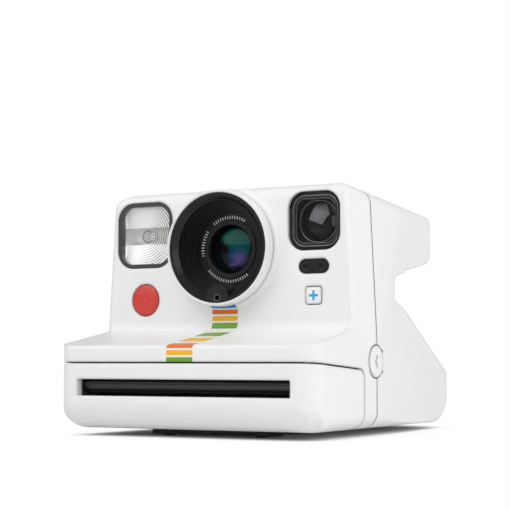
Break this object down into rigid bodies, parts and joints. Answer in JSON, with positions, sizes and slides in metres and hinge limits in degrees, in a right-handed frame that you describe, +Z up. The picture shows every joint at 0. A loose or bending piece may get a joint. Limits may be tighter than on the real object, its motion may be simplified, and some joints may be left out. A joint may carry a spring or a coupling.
{
  "type": "instant camera",
  "caption": "Box-type instant camera with a round lens, flash, viewfinder, sliding door switch and a dropping film door that carries the rollers behind the print slot.",
  "frame": {"origin": "middle of the bounding box at the floor", "axes": "+X to the right as seen from the front, -Y forward out of the lens, +Z up"},
  "size_m": [0.1122, 0.1502, 0.0958],
  "materials": {
    "white_shell": "satin gloss",
    "black_plastic": "fine matt",
    "dark_plastic": "matt",
    "rubber": "matt",
    "brass": "turned",
    "steel": "brushed",
    "lens_glass": "polished and coated",
    "clear_window": "clear",
    "reflector": "bright",
    "mirror_glass": "bright",
    "red_button": "satin gloss",
    "white_gear": "moulded",
    "board": "coated",
    "cell": "foil"
  },
  "bodies": {
    "body": {"front_shell": "white_shell", "rear_shell": "white_shell", "lens_ring": "white_shell", "lens_bezel": "black_plastic", "lens_barrel": "black_plastic", "viewfinder_tunnel": "black_plastic", "light_chamber": "black_plastic", "film_tray": "black_plastic", "picture_frame": "black_plastic", "sensor_window": "black_plastic", "counter_window": "black_plastic", "base_plate": "dark_plastic", "flash_frame": "dark_plastic", "shutter_cover": "dark_plastic", "button_switches": "dark_plastic", "flash_capacitor": "dark_plastic", "feet": "rubber", "eyepiece": "rubber", "tripod_socket": "brass", "base_screws": "steel", "shutter_plate": "steel", "hinge_pins": "steel", "gear_plate": "steel", "usb_port": "steel", "strap_pins": "steel", "motor": "steel", "front_lens": "lens_glass", "rear_lens": "lens_glass", "filter_sensor": "lens_glass", "viewfinder_objective": "lens_glass", "eyepiece_lens": "lens_glass", "flash_window": "clear_window", "viewfinder_window": "clear_window", "flash_tube": "clear_window", "flash_reflector": "reflector", "chamber_mirror": "mirror_glass", "sensor_board": "board", "button_boards": "board", "main_board": "board", "rear_board": "board", "battery": "cell"},
    "door": {"film_door": "white_shell", "door_pad": "dark_plastic", "film_shield": "black_plastic", "roller_frame": "steel"},
    "roller_top": {"upper_roller": "steel", "upper_roller_gear": "white_gear"},
    "roller_bottom": {"lower_roller": "steel", "lower_roller_gear": "white_gear"},
    "drive": {"drive_gear": "white_gear"},
    "pinion": {"motor_pinion": "steel"},
    "pick": {"pick_arm": "steel"},
    "release": {"shutter_button": "red_button"},
    "plus": {"plus_button": "white_shell"},
    "power": {"power_button": "dark_plastic"},
    "flash_key": {"flash_button": "dark_plastic"},
    "latch": {"door_switch": "white_shell", "door_latch": "steel"},
    "blade_left": {"shutter_blade_left": "black_plastic"},
    "blade_right": {"shutter_blade_right": "black_plastic"}
  },
  "joints": [
    {"name": "door_swing", "type": "hinge", "parent": "body", "child": "door", "pos_m": [0, -0.0371, 0.0059], "axis": [1, 0, 0], "range_deg": [0, 72]},
    {"name": "upper_roller_spin", "type": "hinge", "parent": "door", "child": "roller_top", "pos_m": [0, -0.0571, 0.02268], "axis": [1, 0, 0], "continuous": true},
    {"name": "lower_roller_spin", "type": "hinge", "parent": "door", "child": "roller_bottom", "pos_m": [0, -0.0571, 0.01452], "axis": [1, 0, 0], "continuous": true},
    {"name": "drive_gear_spin", "type": "hinge", "parent": "body", "child": "drive", "pos_m": [-0.049, -0.04505, 0.02481], "axis": [1, 0, 0], "continuous": true},
    {"name": "pinion_spin", "type": "hinge", "parent": "body", "child": "pinion", "pos_m": [-0.049, -0.03502, 0.03183], "axis": [1, 0, 0], "continuous": true},
    {"name": "pick_slide", "type": "slide", "parent": "body", "child": "pick", "axis": [0, -1, 0], "range_m": [0, 0.011]},
    {"name": "shutter_press", "type": "slide", "parent": "body", "child": "release", "axis": [0, 1, 0], "range_m": [0, 0.001], "stiffness_N_per_m": 1500},
    {"name": "plus_press", "type": "slide", "parent": "body", "child": "plus", "axis": [0, 1, 0], "range_m": [0, 0.001], "stiffness_N_per_m": 1200},
    {"name": "power_press", "type": "slide", "parent": "body", "child": "power", "axis": [0, -1, 0], "range_m": [0, 0.001], "stiffness_N_per_m": 1200},
    {"name": "flash_press", "type": "slide", "parent": "body", "child": "flash_key", "axis": [0, -1, 0], "range_m": [0, 0.001], "stiffness_N_per_m": 1200},
    {"name": "door_switch_slide", "type": "slide", "parent": "body", "child": "latch", "axis": [0, -1, 0], "range_m": [0, 0.0012], "stiffness_N_per_m": 600},
    {"name": "blade_left_swing", "type": "hinge", "parent": "body", "child": "blade_left", "pos_m": [-0.013, -0.0288, 0.0824], "axis": [0, 1, 0], "range_deg": [0, 40], "stiffness_Nm_per_rad": 0.002},
    {"name": "blade_right_swing", "type": "hinge", "parent": "body", "child": "blade_right", "pos_m": [0.013, -0.0274, 0.0824], "axis": [0, -1, 0], "range_deg": [0, 40], "stiffness_Nm_per_rad": 0.002}
  ],
  "couplings": [
    {"joint": "lower_roller_spin", "follows": "upper_roller_spin", "ratio": -1},
    {"joint": "drive_gear_spin", "follows": "upper_roller_spin", "ratio": -0.5},
    {"joint": "pinion_spin", "follows": "upper_roller_spin", "ratio": 1},
    {"joint": "blade_right_swing", "follows": "blade_left_swing", "ratio": 1}
  ]
}
